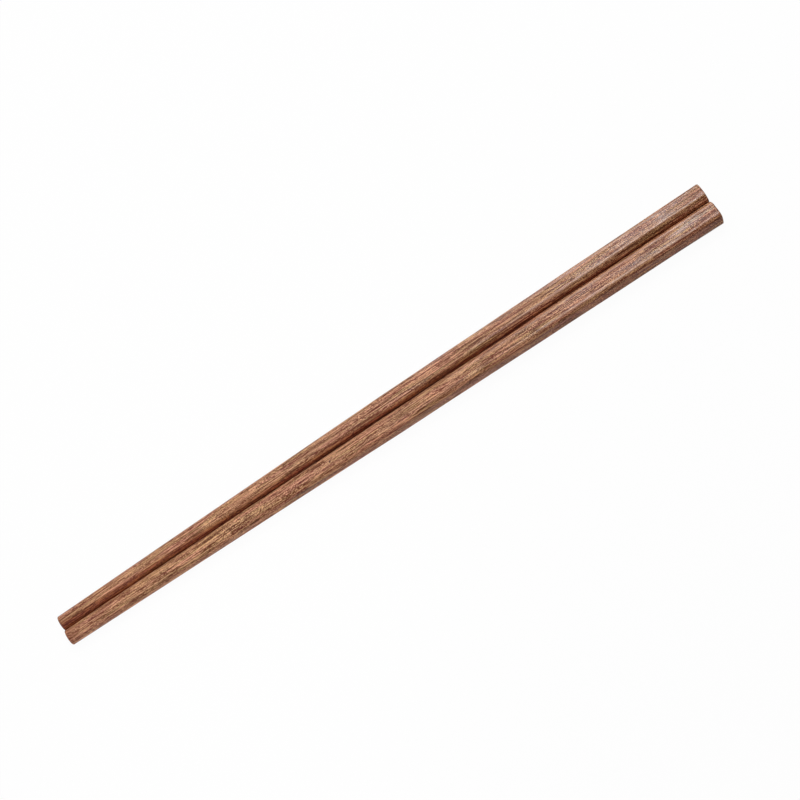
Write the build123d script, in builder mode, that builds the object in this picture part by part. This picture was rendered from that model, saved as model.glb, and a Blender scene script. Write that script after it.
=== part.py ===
"""A pair of wooden chopsticks, lying side by side on the table.

Each stick is one piece of hardwood. Its handle is squared, with planed corners and eased ridges. The
flats narrow and the ridges soften towards the tip, which is round. Both sticks lie on one of their
flats, with their inner sides facing each other.

Millimetres, +Z up. The origin is on the table, in the middle of the pair. +X runs from the tips to the
butts, and -Y is the side of the near stick.
"""

import os

from build123d import *

# Along each stick, from its tip
length = 250.0
waist_station = 125.0  # where the section is about half round and half squared

# Across the flats
butt_width = 7.2
waist_width = 6.45
tip_diameter = 5.4

# Planed corners, by the leg of each chamfer: the far stick's are planed wider
near_butt_chamfer = 1.2
far_butt_chamfer = 2.0
waist_chamfer = 1.1

# Ridges between the flats, softer towards the tip
butt_ridge_radius = 0.7
waist_ridge_radius = 1.7
tip_flat = 0.1  # what is left of each flat at the round tip

# Eased edges of the two end faces
butt_edge_radius = 0.4
tip_edge_radius = 0.35

# Room between the two sticks: they all but touch at the tips and stand a little apart at the butts
tip_clearance = 0.1
waist_clearance = 0.5
butt_clearance = 0.6

# A regular octagon, which the round tip is drawn in
octagon_leg = 1 - 0.5**0.5  # leg of a corner, for a width of 1
octagon_half_turn = 2**0.5 - 1  # tangent of half the turn at a ridge


def make_stick(label, side, butt_chamfer):
    """Loft one stick from round tip to squared butt, on the -Y or +Y side of the pair, and write it."""
    tip_chamfer = octagon_leg * tip_diameter
    tip_ridge_radius = (tip_diameter - tip_flat / octagon_half_turn) / 2
    sections = (
        (0.0, tip_clearance, tip_diameter, tip_chamfer, tip_ridge_radius),
        (waist_station, waist_clearance, waist_width, waist_chamfer, waist_ridge_radius),
        (length, butt_clearance, butt_width, butt_chamfer, butt_ridge_radius),
    )
    with BuildPart() as stick:
        # Every section stands on the table and keeps to its own side of the clearance
        for station, clearance, width, corner, ridge_radius in sections:
            centre = (station - length / 2, side * (clearance + width) / 2, width / 2)
            with BuildSketch(Plane(origin=centre, x_dir=(0, 1, 0), z_dir=(1, 0, 0))) as section:
                Rectangle(width, width)
                chamfer(section.vertices(), corner)
                fillet(section.vertices(), ridge_radius)
        loft(ruled=True)
        fillet(stick.faces().sort_by(Axis.X).first.edges(), tip_edge_radius)
        fillet(stick.faces().sort_by(Axis.X).last.edges(), butt_edge_radius)
    stick.part.label = label
    export_step(stick.part, f"parts/{label}.step")


os.makedirs("parts", exist_ok=True)
make_stick("near_chopstick", -1, near_butt_chamfer)
make_stick("far_chopstick", 1, far_butt_chamfer)
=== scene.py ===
import math

import bpy
import numpy as np
from mathutils import Matrix, Vector, noise


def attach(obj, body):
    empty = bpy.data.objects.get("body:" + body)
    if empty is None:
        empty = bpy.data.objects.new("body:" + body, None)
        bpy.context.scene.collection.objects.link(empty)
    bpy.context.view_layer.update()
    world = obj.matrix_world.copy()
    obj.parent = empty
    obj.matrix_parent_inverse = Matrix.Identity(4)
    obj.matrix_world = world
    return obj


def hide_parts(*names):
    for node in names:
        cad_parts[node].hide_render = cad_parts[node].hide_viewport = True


# A pair of wooden chopsticks on a white table, in metres: +X from the tips to the butts, -Y the near stick
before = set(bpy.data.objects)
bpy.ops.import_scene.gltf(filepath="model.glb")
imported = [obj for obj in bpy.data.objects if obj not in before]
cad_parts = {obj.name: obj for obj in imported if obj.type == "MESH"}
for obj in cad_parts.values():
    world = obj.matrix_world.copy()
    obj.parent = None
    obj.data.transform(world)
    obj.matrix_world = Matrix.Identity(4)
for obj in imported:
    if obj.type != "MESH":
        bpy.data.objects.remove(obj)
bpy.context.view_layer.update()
scene = bpy.context.scene
MM = 0.001

# The form of a stick, in millimetres, at its tip, waist and butt
LENGTH = 250.0
STATION = (0.0, 125.0, 250.0)
CLEARANCE = (0.1, 0.5, 0.6)
WIDTH = (5.4, 6.45, 7.2)
TIP_LEG = WIDTH[0] * (1 - math.sqrt(0.5))  # leg of a corner of the octagon that the round tip is drawn in
RIDGE_RADIUS = (2.58, 1.7, 0.7)
SIDE_RIDGE_RADIUS = (2.58, 1.7, 1.5)  # ridges beside the upright flats stay softer
LEAST_RADIUS = 0.03  # what a ridge keeps where it meets an end face
TIP_EDGE = 0.35  # eased rims of the two end faces
BUTT_EDGE = 0.4

# Marks of handwork, in millimetres unless another unit is given
BOW = 0.26  # both sticks are bent a little towards the far side
CROWN = ((0.0, 2.5, 8.0), (0.0, 5.0, 12.0))  # degrees that flats and planed corners turn at their ends
LEAST_CROWN = 0.0005  # radians: a side without a crown is an arc of very large radius
UNEVEN = (60.0, 200.0)  # stations between which the planing grows uneven
LEG_WAVE = 0.14
LEG_WAVE_LENGTH = 17.0
RIDGE_WAVE = 0.25  # share of the ridge's radius
RIDGE_WAVE_LENGTH = 23.0
RIDGE_SEED = 9  # added to a stick's seed, apart from those of its four corners

# Rubbing by hands, from 0 to 1, and the stations between which it sets in
FLAT_WEAR = 0.5
FLAT_WEAR_SPAN = (165.0, 225.0)
# on the ridges the wear also sets where they are painted paler, partly as a painted highlight
RIDGE_WEAR = 1.0
RIDGE_WEAR_SPAN = (100.0, 200.0)

# The mesh round a stick: eight sides, from the +Y one over the top, each followed by a ridge
EIGHTH = math.pi / 4
TOP = 2
BOTTOM = 6
LEVEL_RIDGE = [(k + 1) // 2 % 2 for k in range(8)]  # 1 beside the top and bottom, 0 beside the upright flats
FLAT_POINTS = 6
RIDGE_POINTS = 10
# The mesh along a stick: rows of the two rims and of the length between them, and rings of the end faces
TIP_ROWS = 8
BODY_ROWS = 420
BUTT_ROWS = 7
END_RINGS = (0.75, 0.5, 0.25)


def turn(a, b):
    """Angle from one direction to another, anticlockwise."""
    return math.atan2(a.x * b.y - a.y * b.x, a.dot(b))


def section(width, legs, ridges, crowns):
    """Outline of a square with planed corners, as (y, z) from its centre.

    Its eight sides are arcs, each turned from its middle by its crown at both ends. The ridges between them
    are eased with two radii: beside the upright flats, and beside the top and bottom.
    """
    corners = []
    for k in range(8):
        a = k * EIGHTH
        b = (k + 1) * EIGHTH
        # how far the two sides that meet here lie from the centre
        planed = (width - legs[k // 2]) / math.sqrt(2)
        da, db = (width / 2, planed) if k % 2 == 0 else (planed, width / 2)
        det = math.sin(b - a)
        y = (da * math.sin(b) - db * math.sin(a)) / det
        z = (db * math.cos(a) - da * math.cos(b)) / det
        corners.append(Vector((y, z)))
    arcs = []
    for k in range(8):
        normal = Vector((math.cos(k * EIGHTH), math.sin(k * EIGHTH)))
        crown = max(crowns[k % 2] if k != BOTTOM else 0.0, LEAST_CROWN)
        radius = (corners[k] - corners[k - 1]).length / 2 / math.sin(crown)
        # half of the bulge is outside the flat side and half inside
        middle = (corners[k] + corners[k - 1]) / 2 + normal * radius * (1 - math.cos(crown)) / 2
        arcs.append((middle - normal * radius, radius, normal))
    eased = []
    for k in range(8):
        # the middle of the small arc that touches two neighbouring sides from inside
        (c1, r1, n1), (c2, r2, n2) = arcs[k], arcs[(k + 1) % 8]
        ridge = ridges[LEVEL_RIDGE[k]]
        apart = c2 - c1
        along = ((r1 - ridge) ** 2 - (r2 - ridge) ** 2 + apart.length_squared) / 2 / apart.length
        aside = math.sqrt((r1 - ridge) ** 2 - along ** 2)
        step = apart.normalized()
        across = Vector((-step.y, step.x))
        if across.dot(n1 + n2) < 0:
            across = -across
        eased.append(c1 + step * along + across * aside)
    points = []
    for k in range(8):
        centre, radius, normal = arcs[k]
        start, end = (turn(normal, eased[j] - centre) for j in (k - 1, k))
        for i in range(1, FLAT_POINTS + 1):
            angle = k * EIGHTH + start + (end - start) * i / (FLAT_POINTS + 1)
            points.append((centre.x + radius * math.cos(angle), centre.y + radius * math.sin(angle)))
        ridge = ridges[LEVEL_RIDGE[k]]
        next_centre, _, next_normal = arcs[(k + 1) % 8]
        a = k * EIGHTH + end
        b = (k + 1) * EIGHTH + turn(next_normal, eased[k] - next_centre)
        for angle in np.linspace(a, b, RIDGE_POINTS):
            points.append((eased[k].x + ridge * math.cos(angle), eased[k].y + ridge * math.sin(angle)))
    return np.array(points)


def wander(x, seed, step):
    """Smooth value from about -1 to 1 that changes over about that many millimetres."""
    return noise.noise(Vector((x / step, seed * 7.31, seed * 3.17))) * 1.6


def make_stations():
    """Places along a stick, each with how far its outline is set in by an eased rim."""
    quarter = math.pi / 2
    stations = []
    for a in np.linspace(0, quarter, TIP_ROWS):
        stations.append((TIP_EDGE * (1 - math.cos(a)), TIP_EDGE * (1 - math.sin(a))))
    for x in np.linspace(TIP_EDGE, LENGTH - BUTT_EDGE, BODY_ROWS)[1:-1]:
        stations.append((x, 0.0))
    for a in np.linspace(0, quarter, BUTT_ROWS):
        stations.append((LENGTH - BUTT_EDGE * (1 - math.sin(a)), BUTT_EDGE * (1 - math.cos(a))))
    return stations


def make_row(x, inset, side, waist_legs, butt_legs, seed):
    """Points round a stick at one station, in millimetres."""
    width = np.interp(x, STATION, WIDTH)
    uneven = np.interp(x, UNEVEN, (0.0, 1.0))
    ridges = [np.interp(x, STATION, radius) for radius in (SIDE_RIDGE_RADIUS, RIDGE_RADIUS)]
    ridges[1] *= 1 + RIDGE_WAVE * uneven * wander(x, seed + RIDGE_SEED, RIDGE_WAVE_LENGTH)
    ridges = [max(ridge - inset, LEAST_RADIUS) for ridge in ridges]
    legs = []
    for k, pair in enumerate(zip(waist_legs, butt_legs)):
        leg = np.interp(x, STATION, (TIP_LEG, *pair))
        leg += LEG_WAVE * uneven * wander(x, seed + k, LEG_WAVE_LENGTH)
        legs.append(leg - (2 - math.sqrt(2)) * inset)
    crowns = [math.radians(np.interp(x, STATION, crown)) for crown in CROWN]
    t = x / LENGTH * 2 - 1
    y = side * (np.interp(x, STATION, CLEARANCE) + width) / 2 + BOW * (1 - t * t)
    outline = section(width - 2 * inset, legs, ridges, crowns)
    return [(x - LENGTH / 2, y + py, width / 2 + pz) for py, pz in outline]


def close_end(verts, faces, rim, first, flip):
    """Fill an end face with rings that close on a middle point. The rim's points start at number first."""
    count = len(rim)
    middle = rim.mean(0)
    ring = [first + i for i in range(count)]
    for share in END_RINGS:
        inner = [len(verts) + i for i in range(count)]
        verts += [tuple(point) for point in middle + share * (rim - middle)]
        for i in range(count):
            j = (i + 1) % count
            quad = (ring[i], ring[j], inner[j], inner[i])
            faces.append(quad[::-1] if flip else quad)
        ring = inner
    verts.append(tuple(middle))
    for i in range(count):
        triangle = (ring[i], ring[(i + 1) % count], len(verts) - 1)
        faces.append(triangle[::-1] if flip else triangle)


def rub(xs):
    """Wear of the points in the rows at these stations: on top and bottom, and more on the ridges beside."""
    flats = []
    ridges = []
    for k in range(8):
        flats += [FLAT_WEAR if k in (TOP, BOTTOM) else 0.0] * FLAT_POINTS + [0.0] * RIDGE_POINTS
        ridges += [0.0] * FLAT_POINTS + [RIDGE_WEAR * LEVEL_RIDGE[k]] * RIDGE_POINTS
    wear = np.outer(np.interp(xs, FLAT_WEAR_SPAN, (0.0, 1.0)), flats)
    wear += np.outer(np.interp(xs, RIDGE_WEAR_SPAN, (0.0, 1.0)), ridges)
    return wear.ravel()


def make_stick(name, side, waist_legs, butt_legs, seed):
    """One stick as a closed mesh, with its wear as an attribute."""
    stations = make_stations()
    rows = np.array([make_row(x, inset, side, waist_legs, butt_legs, seed) for x, inset in stations])
    count = rows.shape[1]
    verts = [tuple(point) for point in rows.reshape(-1, 3)]
    faces = []
    for r in range(len(rows) - 1):
        for i in range(count):
            j = (i + 1) % count
            faces.append((r * count + i, r * count + j, (r + 1) * count + j, (r + 1) * count + i))
    last = len(rows) - 1
    close_end(verts, faces, rows[0], 0, True)
    close_end(verts, faces, rows[last], last * count, False)
    mesh = bpy.data.meshes.new(name)
    mesh.from_pydata([(x * MM, y * MM, z * MM) for x, y, z in verts], [], faces)
    mesh.shade_smooth()
    worn = np.zeros(len(verts), np.float32)
    worn[:len(rows) * count] = rub([x for x, inset in stations])
    mesh.attributes.new("worn", "FLOAT", "POINT").data.foreach_set("value", worn)
    mesh.update()
    piece = bpy.data.objects.new(name, mesh)
    scene.collection.objects.link(piece)
    return piece


def linear(r, g, b):
    """A colour as seen on a screen, 0 to 255, as the shader's own values."""
    channels = []
    for c in (r, g, b):
        channels.append(((c / 255 + 0.055) / 1.055) ** 2.4 if c > 10 else c / 255 / 12.92)
    return (*channels, 1.0)


class Nodes:
    """Short calls for adding shader nodes to one material or world."""

    def __init__(self, tree):
        self.tree = tree
        tree.nodes.clear()

    def add(self, kind, inputs, **settings):
        made = self.tree.nodes.new(kind)
        for key, value in settings.items():
            setattr(made, key, value)
        for key, value in inputs.items():
            if isinstance(value, bpy.types.NodeSocket):
                self.tree.links.new(value, made.inputs[key])
            else:
                made.inputs[key].default_value = value
        return made

    def math(self, operation, a, b):
        return self.add("ShaderNodeMath", {0: a, 1: b}, operation=operation).outputs[0]

    def ramp(self, value, low, high, to_low=0.0, to_high=1.0):
        """The value's range from low to high, moved to another range and clipped to it."""
        return self.add("ShaderNodeMapRange", {
            "Value": value,
            "From Min": low,
            "From Max": high,
            "To Min": to_low,
            "To Max": to_high,
        }).outputs["Result"]

    def weigh(self, *shares):
        """Noises about 0.5, each by its weight, added up to a value about 0.5."""
        total = 0.5 - 0.5 * sum(weight for value, weight in shares)
        for value, weight in shares:
            total = self.math("ADD", self.math("MULTIPLY", value, weight), total)
        return total

    def stretch(self, vector, along, across):
        inputs = {0: vector, 1: (along, across, across)}
        return self.add("ShaderNodeVectorMath", inputs, operation="MULTIPLY").outputs[0]

    def shift(self, vector, offset):
        return self.add("ShaderNodeVectorMath", {0: vector, 1: offset}, operation="ADD").outputs[0]

    def sway(self, vector, along, across, reach):
        """The same place, pushed sideways by up to about half that reach."""
        place = self.stretch(vector, along, across)
        push = self.add("ShaderNodeTexNoise", {"Vector": place, "Scale": 1.0, "Detail": 1.0})
        push = self.shift(push.outputs["Color"], (-0.5, -0.5, -0.5))
        return self.shift(vector, self.stretch(push, 0.0, reach))

    def pattern(self, vector, along, across, detail=0.0, rough=0.5, offset=None):
        """Noise with about so many cells a metre along and across the grain."""
        place = self.stretch(vector, along, across)
        if offset:
            place = self.shift(place, offset)
        return self.add("ShaderNodeTexNoise", {
            "Vector": place,
            "Scale": 1.0,
            "Detail": detail,
            "Roughness": rough,
        }).outputs["Fac"]

    def colours(self, value, stops):
        """Colour that runs through the stops, each a place from 0 to 1 and a screen colour."""
        made = self.add("ShaderNodeValToRGB", {"Fac": value})
        elements = made.color_ramp.elements
        while len(elements) < len(stops):
            elements.new(0.5)
        for element, (position, colour) in zip(elements, stops):
            element.position = position
            element.color = linear(*colour)
        return made.outputs["Color"]

    def mix(self, share, a, b, blend="MIX"):
        inputs = {0: share, 6: a, 7: b}
        return self.add("ShaderNodeMix", inputs, data_type="RGBA", blend_type=blend).outputs[2]

    def seen(self):
        """1 where the camera, a reflection or a clear piece looks at the background, else 0."""
        path = self.add("ShaderNodeLightPath", {})
        seen = self.math("MAXIMUM", path.outputs["Is Camera Ray"], path.outputs["Is Glossy Ray"])
        return self.math("MAXIMUM", seen, path.outputs["Is Transmission Ray"])


# Screen colours of the wood's two shares, from dark lines to light flecks
OLIVE = ((0.1, (97, 54, 29)), (0.6, (122, 74, 43)), (1.0, (222, 174, 124)))
RED = ((0.1, (105, 46, 31)), (0.6, (129, 67, 45)), (1.0, (228, 166, 131)))
# the ridges' paler colour: partly rubbed wood, partly a painted highlight
RUBBED_AND_HIGHLIGHT = (206, 158, 132)
STAINED = (120, 56, 36)
FLECKED = (48, 22, 14)

# The polished handle: where polish sets in, in metres from the middle, how much of the grain's contrast it
# leaves, and the tone that the contrast is about
POLISH_SPAN = (0.04, 0.11)
POLISH_CALM = 0.45
POLISH_TONE = 0.57

# Other marks on the wood, real ones and painted shade and highlight, with their lengths in metres and their
# strength from 0 to 1
STAIN_SPAN = (-0.119, -0.125)  # from the middle to the tip
STAIN_SHARE = 0.35
# share of the paler ridge colour, partly a painted highlight
RUBBED_AND_HIGHLIGHT_SHARE = 0.5
# how far the border of the painted shade wanders across the stick
SHADE_LAYER_WANDER = 0.0008
FLECK_SPAN = (0.0005, 0.0003)  # from its edge to its dark middle
BUMP_HEIGHT = 0.00007


def wood(name, seed, fibre_rate, fleck, shade_layer):
    """Hardwood with its grain along X, and a band of painted shade along one side.

    The painted shade is where it starts and where it is full across the stick, its tint, and its slope along
    it.
    """
    material = bpy.data.materials.new(name)
    material.use_nodes = True
    n = Nodes(material.node_tree)
    spot = n.add("ShaderNodeTexCoord", {}).outputs["Object"]
    axes = n.add("ShaderNodeSeparateXYZ", {0: spot}).outputs
    worn = n.add("ShaderNodeAttribute", {}, attribute_name="worn").outputs["Fac"]
    # each stick is cut from another place in the same wood
    place = n.shift(spot, (seed * 0.613, seed * 0.171, seed * 0.237))
    # grain lines drift sideways over centimetres and waver over millimetres
    grain = n.sway(place, 12.0, 90.0, 0.0015)
    grain = n.sway(grain, 60.0, 400.0, 0.0003)

    # from broad bands down to single grains, and two patterns that don't follow the grain lines
    bands = n.pattern(grain, 20.0, 520.0, 2.0)
    streaks = n.pattern(grain, 60.0, 1800.0, 2.0, 0.55)
    fibres = n.pattern(grain, fibre_rate, 6400.0)
    lines = n.pattern(grain, 50.0, 2600.0, offset=(3.0, 11.0, 23.0))
    hues = n.pattern(grain, 60.0, 800.0, 2.0, offset=(5.0, 17.0, 9.0))
    specks = n.pattern(grain, fibre_rate * 6, 6000.0, offset=(19.0, 8.0, 3.0))
    grit = n.pattern(grain, 3200.0, 4000.0, offset=(2.0, 21.0, 14.0))
    waves = n.pattern(place, 220.0, 900.0, 1.0)
    gloss = n.pattern(place, 70.0, 420.0, 2.0, offset=(13.0, 2.0, 7.0))
    pores = n.add("ShaderNodeTexVoronoi", {"Vector": n.stretch(grain, 120.0, 1900.0), "Scale": 1.0})
    pore = n.ramp(pores.outputs["Distance"], 0.24, 0.12)

    tone = n.weigh((bands, 0.3), (streaks, 0.2), (fibres, 4.4), (lines, 1.2), (specks, 1.5), (grit, 4.2))
    # polish fills the pores of the handle and calms its grain
    calm = n.ramp(axes["X"], *POLISH_SPAN, 1.0, POLISH_CALM)
    tone = n.math("MULTIPLY", n.math("SUBTRACT", tone, POLISH_TONE), calm)
    tone = n.math("ADD", tone, POLISH_TONE)
    red_share = n.ramp(n.weigh((hues, 0.8), (streaks, 0.8)), 0.36, 0.64)
    colour = n.mix(red_share, n.colours(tone, OLIVE), n.colours(tone, RED))
    # the rubbed ridges are paler: partly worn wood, partly a painted highlight
    ridge = n.ramp(worn, 0.6, 1.0)
    colour = n.mix(n.math("MULTIPLY", ridge, RUBBED_AND_HIGHLIGHT_SHARE), colour, linear(*RUBBED_AND_HIGHLIGHT))
    # the tips are stained over their last millimetres
    colour = n.mix(n.ramp(axes["X"], *STAIN_SPAN, 0.0, STAIN_SHARE), colour, linear(*STAINED))
    # painted shade: a darker band along one side of the stick, with a wandering border
    start, full, tint, slope = shade_layer
    depth = n.math("ADD", axes["Y"], n.ramp(bands, 0.0, 1.0, -SHADE_LAYER_WANDER, SHADE_LAYER_WANDER))
    depth = n.math("ADD", depth, n.math("MULTIPLY", axes["X"], slope))
    colour = n.mix(n.ramp(depth, start, full), colour, (*tint, 1.0), "MULTIPLY")
    if fleck:
        away = n.shift(spot, [-c * MM for c in fleck])
        away = n.add("ShaderNodeVectorMath", {0: away}, operation="LENGTH").outputs["Value"]
        colour = n.mix(n.ramp(away, *FLECK_SPAN), colour, linear(*FLECKED))

    # tool waves stay in the handle, and its fine relief is polished down
    fine = n.math("SUBTRACT", n.weigh((streaks, 0.5), (fibres, 0.5), (grit, 0.3)), pore)
    height = n.math("ADD", n.math("MULTIPLY", waves, 2.2), n.math("MULTIPLY", fine, calm))
    bump = n.add("ShaderNodeBump", {"Strength": 1.0, "Distance": BUMP_HEIGHT, "Height": height}).outputs[0]
    rough = n.math("ADD", n.ramp(worn, 0.0, 0.5, 0.54, 0.38), n.ramp(gloss, 0.38, 0.62, 0.08, -0.08))
    # hands polish the ridges and, in patches, the top and bottom of the handle
    patch = n.math("MULTIPLY", n.ramp(gloss, 0.42, 0.64, 0.15, 1.0), n.ramp(worn, 0.15, 0.5, 0.0, 0.55))
    coat = n.math("MAXIMUM", ridge, patch)
    shader = n.add("ShaderNodeBsdfPrincipled", {
        "Base Color": colour,
        "Roughness": rough,
        "Specular IOR Level": 0.25,
        "Coat Weight": coat,
        "Coat Roughness": 0.25,
        "Normal": bump,
        "Coat Normal": bump,
    })
    n.add("ShaderNodeOutputMaterial", {"Surface": shader.outputs[0]})
    return material


# For each stick: its node, its side of the pair, the legs of its planed corners at the waist and at the butt
# (back top, front top, front bottom, back bottom), seed, fibres a metre, fleck in millimetres, and painted
# shade:
# on the far stick along its side that faces the groove between the sticks, on the near stick along its front
STICKS = (
    ("near_chopstick", -1, (1.5, 1.1, 1.1, 1.1), (1.5, 1.2, 1.2, 1.2), 3, 110.0,
     (-23.4, -3.25, 6.5), (-0.0052, -0.0066, (0.94, 0.82, 0.78), 0.005)),
    ("far_chopstick", 1, (1.35, 1.1, 1.1, 1.1), (1.3, 2.0, 2.0, 2.0), 11, 70.0,
     None, (0.0017, 0.0008, (0.64, 0.40, 0.30), 0.004)),
)

for node_name, side, waist_legs, butt_legs, seed, fibre_rate, fleck, shade_layer in STICKS:
    stick = make_stick(node_name.replace("_chopstick", "_stick"), side, waist_legs, butt_legs, seed)
    stick.data.materials.append(wood(node_name.replace("chopstick", "wood"), seed, fibre_rate, fleck, shade_layer))
    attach(stick, "root")
    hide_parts(node_name)

# A white table that keeps a soft shadow, just under the sticks
TABLE_SIZE = 6.0
TABLE_HEIGHT = -0.00002
TABLE_GREY = 0.86
TABLE_WHITE_SHARE = 0.96
WHITE = (1.0, 1.0, 1.0, 1.0)

bpy.ops.mesh.primitive_plane_add(size=TABLE_SIZE, location=(0, 0, TABLE_HEIGHT))
floor = bpy.context.object
floor.name = "table"
table = bpy.data.materials.new("white_table")
table.use_nodes = True
n = Nodes(table.node_tree)
lit = n.add("ShaderNodeBsdfDiffuse", {"Color": (TABLE_GREY, TABLE_GREY, TABLE_GREY, 1.0)})
glow = n.add("ShaderNodeEmission", {"Color": WHITE, "Strength": 1.0})
white_share = n.math("MULTIPLY", n.seen(), TABLE_WHITE_SHARE)
surface = n.add("ShaderNodeMixShader", {0: white_share, 1: lit.outputs[0], 2: glow.outputs[0]})
n.add("ShaderNodeOutputMaterial", {"Surface": surface.outputs[0]})
floor.data.materials.append(table)

# A room that is pale near the horizon and dim overhead, and that lights the sticks only a little
ROOM_LIGHT = 0.12
ROOM_DIM = 0.03

world = bpy.data.worlds.new("room")
scene.world = world
world.use_nodes = True
n = Nodes(world.node_tree)
direction = n.add("ShaderNodeTexCoord", {}).outputs["Generated"]
rise = n.add("ShaderNodeSeparateXYZ", {0: direction}).outputs["Z"]
pale = n.ramp(rise, 0.2, 0.5, 1.0, 0.0)
level = n.math("MULTIPLY", pale, n.ramp(n.seen(), 0.0, 1.0, ROOM_LIGHT, 1.0))
level = n.math("ADD", level, ROOM_DIM)
room = n.add("ShaderNodeBackground", {"Color": WHITE, "Strength": level})
n.add("ShaderNodeOutputWorld", {"Surface": room.outputs[0]})


def softbox(name, place, aim, size, power, spread=180.0):
    """A rectangular lamp that the camera doesn't see, in metres, watts and degrees."""
    lamp = bpy.data.lights.new(name, "AREA")
    lamp.shape = "RECTANGLE"
    lamp.size, lamp.size_y = size
    lamp.energy = power
    lamp.spread = math.radians(spread)
    stand = bpy.data.objects.new(name, lamp)
    stand.location = place
    stand.rotation_euler = (Vector(aim) - Vector(place)).to_track_quat("-Z", "Y").to_euler()
    stand.visible_camera = False
    scene.collection.objects.link(stand)


softbox("sky_light", (-0.10, 0.42, 0.80), (-0.10, 0.0, 0.0), (1.10, 0.70), 6.65)
softbox("handle_light", (0.30, 0.35, 0.75), (0.30, 0.0, 0.0), (0.26, 0.14), 1.5)
softbox("key_light", (0.20, -0.14, 0.90), (0.20, 0.0, 0.0), (0.22, 0.14), 1.2)
softbox("tip_light", (-0.14, -0.16, 0.13), (-0.07, 0.0, 0.0), (0.16, 0.16), 0.031, 70.0)

# The camera looks down across the sticks, turned in its own plane
ELEVATION = 64.2
ROLL = 33.46
DISTANCE = 0.650
IMAGE = 800  # pixels each way
SCALE = 3.097  # pixels for a millimetre at the sticks
CENTRE = (387.56, 417.02)  # pixel of the pair's middle
MIDDLE = Vector((0, 0, 3.4 * MM))
SENSOR = 36.0

camera = bpy.data.cameras.new("camera")
camera.sensor_width = SENSOR
camera.lens = SCALE * DISTANCE / MM * SENSOR / IMAGE
camera.clip_start = 0.01
camera.clip_end = 50
tripod = bpy.data.objects.new("camera", camera)
scene.collection.objects.link(tripod)
scene.camera = tripod
elevation = math.radians(ELEVATION)
roll = math.radians(ROLL)
back = Vector((0, -math.cos(elevation), math.sin(elevation)))
right = Vector((1, 0, 0))
up = back.cross(right)
image_right = math.cos(roll) * right - math.sin(roll) * up
image_up = math.sin(roll) * right + math.cos(roll) * up
offset = (IMAGE / 2 - CENTRE[0]) / SCALE * MM * image_right - (IMAGE / 2 - CENTRE[1]) / SCALE * MM * image_up
axes = Matrix((image_right, image_up, back)).transposed().to_4x4()
tripod.matrix_world = Matrix.Translation(MIDDLE + back * DISTANCE + offset) @ axes

scene.view_settings.view_transform = "Standard"
